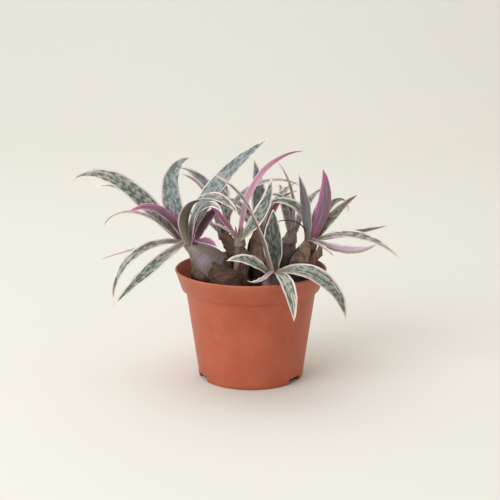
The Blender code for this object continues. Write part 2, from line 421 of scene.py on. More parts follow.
# %% Shape a blade
BLADE_COLUMNS = 12
ACROSS = np.linspace(-1, 1, BLADE_COLUMNS + 1)
CHANNEL_POWER = 1.3
MARGIN_WAVE = 0.30 * MM
WAVES_ON_A_LEAF = (3.0, 5.0)
OTHER_MARGIN_LAG = 1.3
WAVY_HALF_WIDTH = 3 * MM
BLADE_THICKNESS = 1.1 * MM
MARGIN_SHARE = 0.32
TIP_THINNING = 0.72


def shape_blade(node, seed):
    """One fine leaf that follows the plain leaf. Its attributes say where each point is on the blade."""
    line, half, lift, upper = blade_lines(node)
    length = np.linalg.norm(np.diff(line, axis=0), axis=1).sum()
    width = np.linalg.norm(half, axis=1)
    draw = random.Random(seed)
    phase = draw.uniform(0, math.tau)
    waves = draw.uniform(*WAVES_ON_A_LEAF)
    points, along_mm, across_mm, edge_mm, reach = [], [], [], [], []
    for i, share in enumerate(BLADE_SHARES):
        for t in ACROSS:
            lag = OTHER_MARGIN_LAG if t > 0 else 0
            wave = math.sin(share * math.tau * waves + phase + lag) * MARGIN_WAVE
            wave *= abs(t) ** 3 * min(1, width[i] / WAVY_HALF_WIDTH)
            points.append(line[i] + half[i] * t + lift[i] * abs(t) ** CHANNEL_POWER + upper[i] * wave)
            along_mm.append(share * length / MM)
            across_mm.append(width[i] * t / MM)
            edge_mm.append(width[i] * (1 - abs(t)) / MM)
            reach.append(share)
    blade = grid_object(f"blade_{node}", BLADE_COLUMNS, BLADE_ROWS)
    put_points(blade.data, points)
    add_values(blade.data, "along_mm", along_mm)
    add_values(blade.data, "across_mm", across_mm)
    add_values(blade.data, "edge_mm", edge_mm)
    add_values(blade.data, "reach", reach)
    add_values(blade.data, "tint", [draw.random()] * len(points))
    thick = blade.vertex_groups.new(name="thick")
    for index, (t, share) in enumerate((t, share) for share in BLADE_SHARES for t in ACROSS):
        body = MARGIN_SHARE + (1 - MARGIN_SHARE) * (1 - t * t)
        thick.add([index], body * (1 - TIP_THINNING * share ** 2), "REPLACE")
    return blade


def finish_blade(blade, above, below, margin):
    """Give the grid its two faces and its edge, each with a finish."""
    for finish in (above, below, margin):
        blade.data.materials.append(finish.material)
    apply_modifier(blade, "SOLIDIFY", thickness=BLADE_THICKNESS, offset=0, vertex_group="thick",
                   use_even_offset=False, material_offset=1, material_offset_rim=2)
    apply_modifier(blade, "SUBSURF", levels=1, render_levels=1)
    blade.data.shade_smooth()


print(f"a blade is {BLADE_THICKNESS / MM:.1f} mm thick at its midrib")

# %% [markdown]
# ## Leaf finishes
#
# The upper face is a thin silver sheen with dark green blotches, drawn out along the leaf. Light
# margins, cream and pink, run along it and break into streaks towards the midrib. The patterns read
# how far each point is along and across its own blade, in millimetres, so they bend with the leaf
# and keep their size on every one of them.


# %% Where a point is on its blade
TINT_SPREAD = 60


def blade_place(finish, across_scale, along_scale):
    """The point's place on its blade, stretched along the leaf, and moved for each leaf by its tint."""
    across_mm = finish.attribute("across_mm") * across_scale
    along_mm = finish.attribute("along_mm") * along_scale
    tint = finish.attribute("tint") * TINT_SPREAD
    return finish.start().node("ShaderNodeCombineXYZ", X=across_mm, Y=along_mm, Z=tint)


def leaf_margin(finish, width_mm, ragged_mm):
    """1 on the pale margin, with a ragged inner border."""
    streaks = finish.noise(blade_place(finish, 1.1, 0.14), 1.0, 3)
    border = width_mm + (streaks - 0.5) * ragged_mm * 2
    edge = finish.attribute("edge_mm")
    return 1 - (edge - border).step(-0.14, 0.16)


print("a finish can tell a leaf's margin from its middle")

# %% [markdown]
# ### Blotches and stripes
#
# The upper face has blotches and the lower face fine lines. Both are noise that is stretched along
# the leaf, cut at a border. The border moves with the share of the face that the marks cover.


# %% Marks on a leaf
BORDER_TRAVEL = 0.35


def mark_border(cover):
    """Where the noise is cut, so that about this share of the face is marked."""
    return 0.5 + (0.5 - cover) * BORDER_TRAVEL


def blotches(finish, cover):
    """Irregular spots, about 1 mm across and 3 mm long, drawn out along the leaf."""
    warp = finish.noise(blade_place(finish, 0.6, 0.3), 1.0, 2)
    patches = finish.noise(blade_place(finish, 0.52, 0.23), 1.0, 2, 0.5) + (warp - 0.5) * 0.25
    specks = finish.noise(blade_place(finish, 2.0, 0.7), 1.0, 2)
    border = mark_border(cover)
    return (patches + (specks - 0.5) * 0.14).step(border - 0.04, border + 0.06)


def stripes(finish, cover):
    """Fine lines that run the length of the leaf."""
    border = mark_border(cover)
    return finish.noise(blade_place(finish, 2.6, 0.035), 1.0, 3).step(border - 0.07, border + 0.07)


print(f"marks on half of a face are cut at {mark_border(0.5)}")

# %% [markdown]
# ### One face of a leaf
#
# The face is painted in layers, as a leaf is seen: the ground with fine grain and clouds, the
# marks, the midrib, pale streaks, a coloured band, the margin, and last the brownish base and, on
# some leaves, a dark tip. Each layer is a mask that mixes a colour over what is below it. The bump
# is shallow: veins, and slightly sunk marks.


# %% One face of a leaf
LEAF_FOOT = linear(126, 114, 98)
BASE_REACH = (0.02, 0.26)
MIDRIB_MM = (0.08, 0.5)
VEIN_DEPTH = 0.0002


def leaf_face(name, ground, mark, margin, flush, pattern=blotches, cover=0.5, strength=0.85, margin_mm=0.8,
              streaks=0.0, band=None, band_mm=0.0, tip=None, tip_from=0.6, foot=None):
    """One face of a leaf: marks on a ground, a band inside the margin, the margin, the base and the tip."""
    finish = Finish(name, Specular_IOR_Level=0.45)
    reach = finish.attribute("reach")
    fine = finish.noise(blade_place(finish, 5, 0.4), 1.0, 3)
    clouds = finish.noise(blade_place(finish, 0.35, 0.07), 1.0, 2).step(0.35, 0.65)
    colour = fine.step(0.3, 0.7).mix(ground, tuple(0.78 * part for part in ground))
    colour = (clouds * 0.10).mix(colour, flush)
    marks = pattern(finish, cover)
    colour = (marks * strength).mix(colour, mark)
    across = finish.attribute("across_mm")
    midrib = 1 - across.sum("ABSOLUTE", across).step(*MIDRIB_MM)
    colour = (midrib * 0.4).mix(colour, tuple(0.7 * part for part in mark))
    if streaks:
        run = finish.noise(blade_place(finish, 0.75, 0.018), 1.0, 2).step(0.60, 0.66)
        colour = (run * streaks).mix(colour, margin)
    if band:
        inner = leaf_margin(finish, band_mm, 0.45 * band_mm)
        colour = (inner * 0.85).mix(colour, band)
    rosy = finish.noise(blade_place(finish, 0.5, 0.07), 1.0, 2).step(0.44, 0.62)
    inside = finish.attribute("edge_mm").step(0.1, 0.55)
    margin_colour = (rosy * 0.7 * inside).mix(margin, flush)
    colour = leaf_margin(finish, margin_mm, 0.8).mix(colour, margin_colour)
    colour = ((1 - reach.step(*BASE_REACH)) * 0.75).mix(colour, foot or LEAF_FOOT)
    if tip:
        colour = (reach.step(tip_from, 1.0) * 0.9).mix(colour, tip)
    finish.set(Base_Color=colour, Roughness=0.38 + fine * 0.16)
    veins = finish.noise(blade_place(finish, 6, 0.10), 1.0, 2)
    finish.bump(veins * 0.6 + marks * 0.4, VEIN_DEPTH, 0.6)
    return finish


def leaf_edge(name, colour, flush):
    """The thin edge between the two faces, pale and flushed in places."""
    finish = Finish(name, Specular_IOR_Level=0.4)
    rosy = finish.noise(blade_place(finish, 0.5, 0.1), 1.0, 2).step(0.4, 0.62)
    finish.set(Base_Color=(rosy * 0.6).mix(colour, flush), Roughness=0.42 + rosy * 0.06)
    return finish


ROSE = linear(206, 146, 170)
MAGENTA = linear(172, 74, 124)
pale_edge = leaf_edge("pale_edge", linear(222, 212, 206), ROSE)
rose_edge = leaf_edge("rose_edge", linear(222, 182, 204), MAGENTA)
print("two edge finishes made")

# %% [markdown]
# ### Silver leaves
#
# Most leaves are silver with dark green blotches above and olive below, with cream margins flushed rose. The
# broad upright ones look bluer. The leaves that stand in shade are given a darker ground and darker blotches,
# which is painted shade. The oldest are paler with brown tips.

# %% Silver finishes
SILVER = linear(162, 171, 163)
BLOTCH = linear(80, 90, 78)
CREAM = linear(232, 226, 216)
OLIVE = linear(92, 92, 68)

silver_above = leaf_face("silver_above", SILVER, BLOTCH, CREAM, ROSE, cover=0.54, streaks=0.6,
                         margin_mm=1.25)
silver_below = leaf_face("silver_below", OLIVE, linear(140, 132, 112), linear(218, 186, 200), ROSE,
                         pattern=stripes, cover=0.42, strength=0.6, margin_mm=1.0)
blue_above = leaf_face("blue_above", linear(160, 172, 174), linear(92, 108, 104), CREAM, ROSE, cover=0.5,
                       margin_mm=0.95)
# Painted shade: a darker copy of the silver face, for the leaves that stand in shade.
painted_shade_above = leaf_face("painted_shade_above", linear(122, 132, 124), linear(60, 70, 60), CREAM, ROSE, cover=0.56,
                       margin_mm=0.8)
pale_above = leaf_face("pale_above", linear(190, 186, 176), linear(122, 122, 108), CREAM, ROSE, cover=0.4,
                       streaks=0.8, margin_mm=1.0, tip=linear(84, 66, 62), tip_from=0.75)
pale_below = leaf_face("pale_below", linear(222, 202, 210), linear(160, 138, 146),
                       linear(238, 222, 228), ROSE, pattern=stripes, cover=0.36, strength=0.6)
tipped_above = leaf_face("tipped_above", linear(140, 148, 130), linear(80, 88, 70), CREAM, ROSE, cover=0.5,
                         margin_mm=0.6, tip=linear(122, 52, 72), tip_from=0.62)
print("silver finishes made, five above and two below")

# %% [markdown]
# ### Pink leaves
#
# The youngest leaves have no blotches yet. They are striped grey purple, and a wide pink band runs
# inside each margin. One thin leaf is pink all over with a crimson tip.

# %% Pink finishes
PINK_FOOT = linear(186, 118, 150)
pink_above = leaf_face("pink_above", linear(146, 122, 136), linear(96, 74, 88), linear(232, 186, 210),
                       linear(204, 126, 166), pattern=stripes, cover=0.5, band=linear(194, 106, 152),
                       band_mm=2.0, margin_mm=0.35, foot=PINK_FOOT)
pink_below = leaf_face("pink_below", linear(124, 100, 116), linear(168, 140, 158), linear(232, 182, 210),
                       linear(198, 116, 158), pattern=stripes, cover=0.42, band=linear(190, 102, 152),
                       band_mm=2.4, margin_mm=0.4, foot=PINK_FOOT)
grey_above = leaf_face("grey_above", linear(150, 146, 148), linear(102, 96, 102), linear(220, 210, 216),
                       linear(158, 120, 144), pattern=stripes, cover=0.5, margin_mm=0.6)
magenta_thin = leaf_face("magenta_thin", linear(210, 180, 192), linear(174, 104, 140), linear(226, 202, 212),
                         linear(192, 106, 148), pattern=stripes, cover=0.5, margin_mm=0.6,
                         tip=linear(142, 38, 86), tip_from=0.42, foot=PINK_FOOT)
crimson = leaf_face("crimson", linear(150, 44, 84), linear(96, 34, 56), linear(190, 96, 132), MAGENTA,
                    pattern=stripes, margin_mm=0.3, foot=PINK_FOOT)
print("pink finishes made")

# %% [markdown]
# ### Which leaf wears what
#
# The frame names a slot for each leaf, silver or pink, and most leaves follow it. Those that differ
# on the plant are listed by name with their own finishes: above, below and edge.

# %% Finishes by leaf
LEAF_FINISHES = {
    "leaf_silver": (silver_above, silver_below, pale_edge),
    "leaf_pink": (pink_above, pink_below, rose_edge),
}
OWN_FINISHES = {
    "left_leaf_upright": (blue_above, silver_below, pale_edge),
    "left_leaf_longest": (blue_above, silver_below, pale_edge),
    "purple_leaf_back_left": (blue_above, pale_below, pale_edge),
    "front_leaf_broad_upright": (painted_shade_above, silver_below, pale_edge),
    "back_leaf_upright": (blue_above, silver_below, pale_edge),
    "right_leaf_spotted_back": (painted_shade_above, silver_below, pale_edge),
    "right_leaf_level": (painted_shade_above, silver_below, pale_edge),
    "right_leaf_rising": (tipped_above, silver_below, pale_edge),
    "left_leaf_pale": (pale_above, pale_below, pale_edge),
    "left_leaf_level": (pale_above, pale_below, rose_edge),
    "purple_leaf_cream_arch": (pale_above, pale_below, pale_edge),
    "purple_leaf_pink_upright": (pale_above, pale_below, pale_edge),
    "right_leaf_curling_up": (pale_above, pale_below, rose_edge),
    "front_leaf_edge_on": (pale_above, pale_below, pale_edge),
    "right_leaf_grey_upright": (grey_above, grey_above, pale_edge),
    "middle_leaf_thin_magenta": (magenta_thin, magenta_thin, rose_edge),
    "back_leaf_red_tip": (crimson, crimson, rose_edge),
    "right_leaf_curled_dark": (tipped_above, tipped_above, rose_edge),
    "right_leaf_thin_reddish": (pale_above, crimson, rose_edge),
}
print(f"{len(OWN_FINISHES)} leaves have their own finishes")

# %% [markdown]
# ### Make the leaves
#
# Each fine blade takes the place of its plain node, rides on the root body with the pot, and takes its
# finishes from the slot that the frame gives the node, unless it has its own. Its number in the list seeds
# its waves and its tint.

# %% Make every leaf
leaf_nodes = sorted(name for name in nodes if "_leaf_" in name)
for number, leaf_node in enumerate(leaf_nodes):
    fine_leaf = shape_blade(leaf_node, number)
    finish_blade(fine_leaf, *OWN_FINISHES.get(leaf_node, LEAF_FINISHES[slot_of[leaf_node]]))
    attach(fine_leaf, "root")
    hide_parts(leaf_node)
print(f"{len(leaf_nodes)} leaves made")

# %% [markdown]
# ## Pot
#
# The pot is moulded from thin plastic in one piece: a tapered wall, a collar at the top that makes
# the rim stiff, and a flat floor with three drain notches in its corner. One ring of edges can make
# all of it. It starts as the floor's rim and is extruded and resized, ring by ring, up the outside,
# over the lip and down the inside.

# %% Turn a vessel ring by ring
def turned_vessel(name, outline, segments):
    """A closed turned piece from (radius, height) points. Its first and last rings are filled flat."""
    bpy.ops.object.select_all(action="DESELECT")
    radius, height = outline[0]
    bpy.ops.mesh.primitive_circle_add(vertices=segments, radius=radius, fill_type="NGON",
                                      location=(0, 0, height))
    made = bpy.context.object
    made.name = name
    bpy.ops.object.transform_apply(location=True, rotation=True, scale=True)
    bpy.ops.object.mode_set(mode="EDIT")
    bpy.ops.mesh.select_mode(type="EDGE")
    bpy.ops.mesh.select_all(action="SELECT")
    for next_radius, next_height in outline[1:]:
        bpy.ops.mesh.extrude_edges_move(TRANSFORM_OT_translate={"value": (0, 0, next_height - height)})
        share = next_radius / radius
        bpy.ops.transform.resize(value=(share, share, 1), center_override=(0, 0, next_height))
        radius, height = next_radius, next_height
    bpy.ops.mesh.edge_face_add()
    bpy.ops.mesh.select_all(action="SELECT")
    bpy.ops.mesh.normals_make_consistent(inside=False)
    bpy.ops.object.mode_set(mode="OBJECT")
    return made


print("an outline can be turned into a closed vessel")

# %% [markdown]
# ### The pot's outline
#
# The frame gives the rim's radius and the height. The other radii are the foot's, the wall's under
# the collar and the collar's own lower edge. Each corner has two or three points, because moulded
# plastic is never sharp.

# %% The pot's shell
POT_SEGMENTS = 160
_, pot_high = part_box("nursery_pot")
RIM = pot_high.x
HEIGHT = pot_high.z
WALL = 1.3 * MM
FOOT = 42 * MM
SHOULDER = 51.8 * MM
COLLAR_FOOT = 55 * MM
LEDGE = HEIGHT - 16 * MM
pot_outline = [
    (FOOT - 0.8 * MM, 0), (FOOT, 0.8 * MM), (FOOT + 0.5 * MM, 3.2 * MM), (FOOT + 0.3 * MM, 3.7 * MM),
    (SHOULDER - 0.3 * MM, LEDGE - 2.6 * MM), (SHOULDER + 0.2 * MM, LEDGE - 1.4 * MM),
    (COLLAR_FOOT - 0.6 * MM, LEDGE - 0.1 * MM), (COLLAR_FOOT, LEDGE + 0.4 * MM),
    (RIM - 0.5 * MM, HEIGHT - 2.0 * MM), (RIM, HEIGHT - 1.2 * MM), (RIM, HEIGHT - 0.5 * MM),
    (RIM - 0.45 * MM, HEIGHT), (RIM - WALL, HEIGHT - 0.1 * MM), (RIM - 1.25 * WALL, HEIGHT - 0.9 * MM),
    (COLLAR_FOOT - WALL, LEDGE + WALL), (SHOULDER - WALL, LEDGE), (FOOT - WALL, WALL),
]
pot = turned_vessel("pot_shell", pot_outline, POT_SEGMENTS)
print(f"the pot is {2 * RIM / MM:.0f} mm across its rim and {HEIGHT / MM:.1f} mm high")

# %% [markdown]
# ### Drain notches
#
# Water leaves a nursery pot through notches in the corner of its foot. Each one is a block that a
# Boolean takes out of the shell. A small bevel then rounds the new edges, and every other corner
# that is still sharp.

# %% Cut the drain notches
NOTCH_HEADINGS = (-155, -35, 85)
NOTCH_HEIGHT = 4.5 * MM
NOTCH_DEPTH = 8 * MM
NOTCH_SPREAD = math.radians(10)
NOTCH_WIDTH = 2 * FOOT * math.sin(NOTCH_SPREAD)
ROUNDING = 0.25 * MM
for heading in NOTCH_HEADINGS:
    turn = math.radians(heading)
    bpy.ops.mesh.primitive_cube_add(size=1, rotation=(0, 0, turn),
                                    location=(FOOT * math.cos(turn), FOOT * math.sin(turn), 0),
                                    scale=(2 * NOTCH_DEPTH, NOTCH_WIDTH, 2 * NOTCH_HEIGHT))
    cutter = bpy.context.object
    bpy.ops.object.transform_apply(location=True, rotation=True, scale=True)
    apply_modifier(pot, "BOOLEAN", operation="DIFFERENCE", solver="EXACT", object=cutter)
    bpy.data.objects.remove(cutter, do_unlink=True)
apply_modifier(pot, "BEVEL", width=ROUNDING, segments=2, limit_method="ANGLE",
               angle_limit=math.radians(35))
bpy.ops.object.select_all(action="DESELECT")
pot.select_set(True)
bpy.context.view_layer.objects.active = pot
bpy.ops.object.shade_smooth_by_angle(angle=math.radians(32))
print(f"{len(NOTCH_HEADINGS)} notches cut, {len(pot.data.polygons)} faces in the pot")

# %% [markdown]
# ## Pot plastic
#
# Nursery plastic is a terracotta colour all through, with a low waxy shine. Handling leaves it a
# little cloudy, water leaves faint runs of lime, and the mould leaves a fine grain that breaks up
# the highlight.

# %% Pot finish
RIM_LIGHTENING_DEPTH = 6 * MM
GRAIN_DEPTH = 0.00005
HEIGHT_OUTPUT = 2
plastic = Finish("terracotta_plastic", Specular_IOR_Level=0.34)
spot = plastic.place()
clouds = plastic.noise(spot, 38, 4)
runs = plastic.noise(spot.node("ShaderNodeMapping", None, 0, Vector=spot, Scale=(1, 1, 0.12)), 260, 3)
grain = plastic.noise(spot, 2600, 2)
body = clouds.step(0.3, 0.7).mix(linear(176, 87, 58), linear(186, 97, 69))
body = (runs.step(0.60, 0.78) * 0.16).mix(body, linear(198, 140, 116))
height_here = spot.node("ShaderNodeSeparateXYZ", None, HEIGHT_OUTPUT, Vector=spot)
# Over its top 6 mm the pot grows lighter towards the rim.
rim_lightening = height_here.step(HEIGHT - RIM_LIGHTENING_DEPTH, HEIGHT) * 0.14
body = rim_lightening.mix(body, linear(200, 140, 118))
plastic.set(Base_Color=body, Roughness=0.36 + clouds * 0.18)
plastic.bump(grain, GRAIN_DEPTH, 0.35)
pot.data.materials.append(plastic.material)
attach(pot, "root")
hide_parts("nursery_pot")
print("the pot has its plastic")

# %% [markdown]
# ## Bulbs: reading the frame
#
# The frame's bulbs are stacks of level rings, so each height gives a middle and a radius. Every
# bulb, its dry tunics and the sheaths round its neck are grids that are wrapped about that stack.


# %% Read a bulb
LEVEL_GRID = 0.02 * MM


def read_bulb(node):
    """The middle and the radius of each level ring, from the foot to the neck."""
    points, _ = merged_copy(node)
    levels = {}
    for point in points:
        levels.setdefault(round(point[2] / LEVEL_GRID), []).append(point)
    rings = []
    for level in sorted(levels):
        ring = np.array(levels[level])
        middle = ring.mean(axis=0)
        rings.append((*middle, np.linalg.norm(ring - middle, axis=1).mean()))
    return np.array(rings)


print(f"the left bulb has {len(read_bulb('left_bulb'))} rings in the frame")

# %% [markdown]
# ### A sheet about a bulb
#
# A bulb's skin, its torn tunics and the sheaths at its neck are the same thing: a sheet that
# follows the bulb from one height to another and part or all of the way round. A narrow sheet is
# rounded at the top and torn along it, and may flare outwards. It gets a thin wall. A sheet that
# goes all round is joined and closed.

# %% Wrap a sheet about a bulb
LEVEL_STEPS = 400
TOP_ROUNDING = 0.6


def wrap(name, rings, low, high, start, span, columns, rows, offset, surface, ragged=0.0, seed=0,
         flare=0.0, wall=0.0):
    """A sheet round a bulb, from share low to share high of its height. surface gives its relief."""
    whole = span >= math.tau
    made = grid_object(name, columns, rows)
    points, around_mm, up_mm, tint = [], [], [], []
    hue = random.Random(seed).random()
    levels = smooth_through(rings, np.linspace(0, 1, LEVEL_STEPS + 1)).tolist()
    height = rings[-1][2] - rings[0][2]
    for row in range(rows + 1):
        for column in range(columns + 1):
            angle = start + span * column / columns
            tear = noise.noise(Vector((math.cos(angle) * 2.2, math.sin(angle) * 2.2, seed * 3.1)))
            tear += 0.5 * noise.noise(Vector((angle * 5.0, seed * 1.7, 0)))
            top = high + ragged * tear
            if not whole:
                top -= (high - low) * TOP_ROUNDING * abs(2 * column / columns - 1) ** 2.2
            share = low + (top - low) * row / rows
            level = levels[round(min(max(share, 0), 1) * LEVEL_STEPS)]
            middle, radius = Vector(level[:3]), level[3]
            if share > 1:
                middle = middle + Vector((0, 0, (share - 1) * height))
            reach = radius + offset + surface(angle, share)
            reach += flare * (row / rows) ** 2
            points.append(middle + reach * Vector((math.cos(angle), math.sin(angle), 0)))
            around_mm.append(angle * radius / MM)
            up_mm.append(share * height / MM)
            tint.append(hue)
    put_points(made.data, points)
    add_values(made.data, "around_mm", around_mm)
    add_values(made.data, "up_mm", up_mm)
    add_values(made.data, "tint", tint)
    if wall:
        apply_modifier(made, "SOLIDIFY", thickness=wall, offset=1)
    elif whole:
        close_round(made)
    return made


def close_round(made):
    """Join the sheet's seam and fill both its ends, so that it is one closed body."""
    bpy.context.view_layer.objects.active = made
    bpy.ops.object.mode_set(mode="EDIT")
    bpy.ops.mesh.select_all(action="SELECT")
    bpy.ops.mesh.remove_doubles(threshold=0.002 * MM)
    bpy.ops.mesh.select_mode(type="EDGE")
    bpy.ops.mesh.select_all(action="DESELECT")
    bpy.ops.mesh.select_non_manifold()
    bpy.ops.mesh.edge_face_add()
    bpy.ops.mesh.select_all(action="SELECT")
    bpy.ops.mesh.normals_make_consistent(inside=False)
    bpy.ops.object.mode_set(mode="OBJECT")


def dress(made, finish, smooth=True):
    """Give a piece its finish and its place on the root body."""
    made.data.materials.append(finish.material)
    if smooth:
        made.data.shade_smooth()
    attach(made, "root")
    return made


print(f"a sheet reads its bulb at {LEVEL_STEPS + 1} levels")

# %% [markdown]
# ## Bulb finishes
#
# A living bulb has a smooth, taut skin, purple where the light reaches it and grey-green near its base. Old
# tunics dry to brown paper, ribbed lengthwise and fraying at the top. On every skin the fine raised lines are
# paler than the ground between them. This is partly the skin's own fibres, and partly a painted highlight on
# the ridges with painted shade in the folds.


# %% Bulb finishes
LINE_DEPTH = 0.0003
SKIN_TINT_SPREAD = 40


def bulb_place(finish, around_scale, up_scale):
    """The point's place on its bulb, stretched, and moved for each sheet by its tint."""
    around = finish.attribute("around_mm") * around_scale
    up = finish.attribute("up_mm") * up_scale
    tint = finish.attribute("tint") * SKIN_TINT_SPREAD
    return finish.start().node("ShaderNodeCombineXYZ", X=around, Y=up, Z=tint)


def bulb_skin(name, low, high, streak, roughness, lines_per_mm=1.5, rings_per_mm=0.08):
    """A skin clouded between two colours and streaked by fine raised lines, painted paler on their ridges:
    partly their own colour, partly a painted highlight.
    """
    finish = Finish(name, Specular_IOR_Level=0.4)
    lines = finish.noise(bulb_place(finish, lines_per_mm, rings_per_mm), 1.0, 3)
    clouds = finish.noise(bulb_place(finish, 0.14, 0.12), 1.0, 4)
    colour = (clouds.step(0.35, 0.65)).mix(low, high)
    # Paler colour on the tops of the bump's lines: partly the fibres' own colour, partly a painted highlight,
    # leaving painted shade in the folds.
    colour = (lines.step(0.52, 0.66) * 0.65).mix(colour, streak)
    finish.set(Base_Color=colour, Roughness=roughness + lines * 0.15)
    finish.bump(lines, LINE_DEPTH, 0.6)
    return finish


living_skin = bulb_skin("living_skin", linear(104, 96, 80), linear(118, 86, 108), linear(150, 128, 142), 0.34)
# The left bulb's skin is paler lavender than the other purple bulbs: partly its own colour, partly a painted
# highlight on its smooth dome.
pale_skin_with_highlight = bulb_skin("pale_skin_with_highlight", linear(128, 122, 92), linear(152, 132, 150), linear(178, 166, 178), 0.28)
brown_tunic = bulb_skin("brown_tunic", linear(44, 29, 22), linear(82, 54, 42), linear(118, 86, 68), 0.66,
                        lines_per_mm=0.12, rings_per_mm=3.0)
dry_scrap = bulb_skin("dry_scrap", linear(108, 80, 66), linear(154, 126, 108), linear(190, 168, 150), 0.7,
                      lines_per_mm=2.4)
neck_sheath = bulb_skin("neck_sheath", linear(132, 122, 104), linear(150, 120, 126),
                        linear(196, 182, 174), 0.5)
print("five skins made")

# %% [markdown]
# ### Bulb shapes
#
# Every bulb's rings are read once, because the tunics, the scales and the soil use them too. The
# two brown bulbs carry no leaves, so their necks close to a rounded end. The skin's relief is a few
# ribs that wander.

# %% Bulb shapes
bulb_nodes = sorted(name for name in nodes if name.endswith("_bulb"))
NECK_TAPER = 0.32
NECK_END = 0.03


def taper_neck(rings):
    """The same stack with a neck that closes to a rounded end, as on a bulb that carries no leaves."""
    rings = rings.copy()
    left_to_go = (rings[-1, 2] - rings[:, 2]) / (rings[-1, 2] - rings[0, 2])
    rings[:, 3] *= np.sqrt(np.clip(left_to_go / NECK_TAPER, NECK_END, 1))
    return rings


stacks = {name: read_bulb(name) for name in bulb_nodes}
for name in bulb_nodes:
    if slot_of[name] == "bulb_brown":
        stacks[name] = taper_neck(stacks[name])


def skin_relief(depth, ribs, seed):
    """Ribs that run from the foot to the neck, uneven from one to the next."""
    def relief(angle, share):
        uneven = noise.noise(Vector((math.cos(angle) * 3, math.sin(angle) * 3, share * 1.6 + seed)))
        ripple = math.sin(angle * ribs + uneven * 14)
        return depth * (ripple * 0.5 + uneven * 2.0) * math.sin(math.pi * min(share, 1)) ** 0.5
    return relief


print(f"{len(stacks)} bulbs read")

# %% [markdown]
# ### Bodies, tunics and sheaths
#
# The body is one closed sheet. Torn tunics lie over it in layers, each a little further out, and more of them
# on the papery brown bulbs. Three sheaths, the dry bases of old leaves, close in round each leafy neck,
# except on the left bulb, which has its own pale skin.

# %% Layers of a bulb
BULB_FINISH = {"bulb_purple": living_skin, "bulb_brown": brown_tunic}
OWN_SKIN = {"left_bulb": pale_skin_with_highlight}
BODY_GRID = (110, 44)
TUNIC_GRID = (36, 22)
TUNIC_LIFT = 0.20 * MM
TUNIC_STEP = 0.16 * MM
TUNIC_WALL = 0.14 * MM
SHEATH_GRID = (24, 18)
SHEATH_COUNT = 3
SHEATH_STEP = 0.25 * MM
SHEATH_WALL = 0.3 * MM


def make_body(bulb_node, number, relief):
    """The bulb's own skin, closed at its foot and its neck."""
    slot = slot_of[bulb_node]
    rings = stacks[bulb_node]
    bulb = wrap(f"{bulb_node}_body", rings, 0, 1, 0, math.tau, *BODY_GRID, 0, relief, seed=number)
    dress(bulb, OWN_SKIN.get(bulb_node, BULB_FINISH[slot]))
    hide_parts(bulb_node)


def make_tunics(bulb_node, number, relief, count, finish):
    """Torn pieces of old tunic, each one lying over the one before it."""
    for layer in range(count):
        draw = random.Random(number * 31 + layer)
        low, high = draw.uniform(0.02, 0.2), draw.uniform(0.45, 0.95)
        start, span = draw.uniform(0, math.tau), draw.uniform(0.8, 1.8)
        torn = wrap(f"{bulb_node}_tunic_{layer}", stacks[bulb_node], low, high, start, span, *TUNIC_GRID,
                    TUNIC_LIFT + TUNIC_STEP * layer, relief, ragged=0.16, seed=number * 13 + layer,
                    flare=draw.uniform(0.2, 1.2) * MM, wall=TUNIC_WALL)
        dress(torn, finish)


def make_sheaths(bulb_node, number, relief):
    """Dry leaf bases about the neck. Their tops lean in, so the flare is below zero."""
    for layer in range(SHEATH_COUNT):
        draw = random.Random(number * 17 + layer)
        high = draw.uniform(1.10, 1.20)
        start = layer * math.tau / SHEATH_COUNT + draw.uniform(-0.3, 0.3)
        sheath = wrap(f"{bulb_node}_sheath_{layer}", stacks[bulb_node], 0.80, high, start, 2.5, *SHEATH_GRID,
                      SHEATH_STEP * (1 + layer), relief, ragged=0.02, seed=number * 5 + layer,
                      flare=draw.uniform(-2.4, -0.6) * MM, wall=SHEATH_WALL)
        dress(sheath, neck_sheath)


print(f"a body has {BODY_GRID[0] * BODY_GRID[1]} faces, a tunic {TUNIC_GRID[0] * TUNIC_GRID[1]} on one side")

# %% Make every bulb
for number, bulb_node in enumerate(bulb_nodes):
    papery = slot_of[bulb_node] == "bulb_brown"
    relief = skin_relief((0.12 if papery else 0.07) * MM, 31 if papery else 11, number * 7)
    make_body(bulb_node, number, relief)
    make_tunics(bulb_node, number, relief, 5 if papery else 2, brown_tunic if papery else dry_scrap)
    leafy = any(name.startswith(bulb_node.replace("_bulb", "_leaf")) for name in leaf_nodes)
    if leafy and bulb_node not in OWN_SKIN:
        make_sheaths(bulb_node, number, relief)
print(f"{len(bulb_nodes)} bulbs made")

# %% [markdown]
# ### Dry scales
#
# Between the bulbs stand loose scales, the last of their old tunics: brown, curled outwards and
# free at the top. They are narrow sheets wrapped about a bulb like its tunics, with more flare.
# Each row gives the bulb, the lowest and highest share of its height, the heading and the span in
# degrees, and the flare in millimetres.

# %% Dry scales
SCALE_GRID = (26, 20)
SCALE_LIFT = 0.9 * MM
SCALE_WALL = 0.22 * MM
DRY_SCALES = [
    ("right_bulb", 0.42, 0.94, -72, 74, 4.6), ("right_bulb", 0.50, 1.02, -150, 80, 1.6),
    ("purple_bulb", 0.55, 1.14, -128, 110, 3.2), ("purple_bulb", 0.30, 0.98, -52, 84, 3.8),
    ("middle_bulb", 0.22, 0.74, -106, 120, 2.8), ("middle_brown_bulb", 0.40, 1.04, -142, 96, 2.2),
    ("middle_brown_bulb", 0.25, 0.86, -60, 80, 3.0), ("front_right_bulb", 0.40, 1.10, 18, 66, 2.6),
    ("back_middle_bulb", 0.40, 1.00, -100, 90, 3.0), ("back_right_bulb", 0.45, 1.05, 60, 90, 2.6),
    ("left_bulb", 0.04, 0.40, -160, 60, 1.6),
]
still = skin_relief(0.3 * MM, 7, 3)
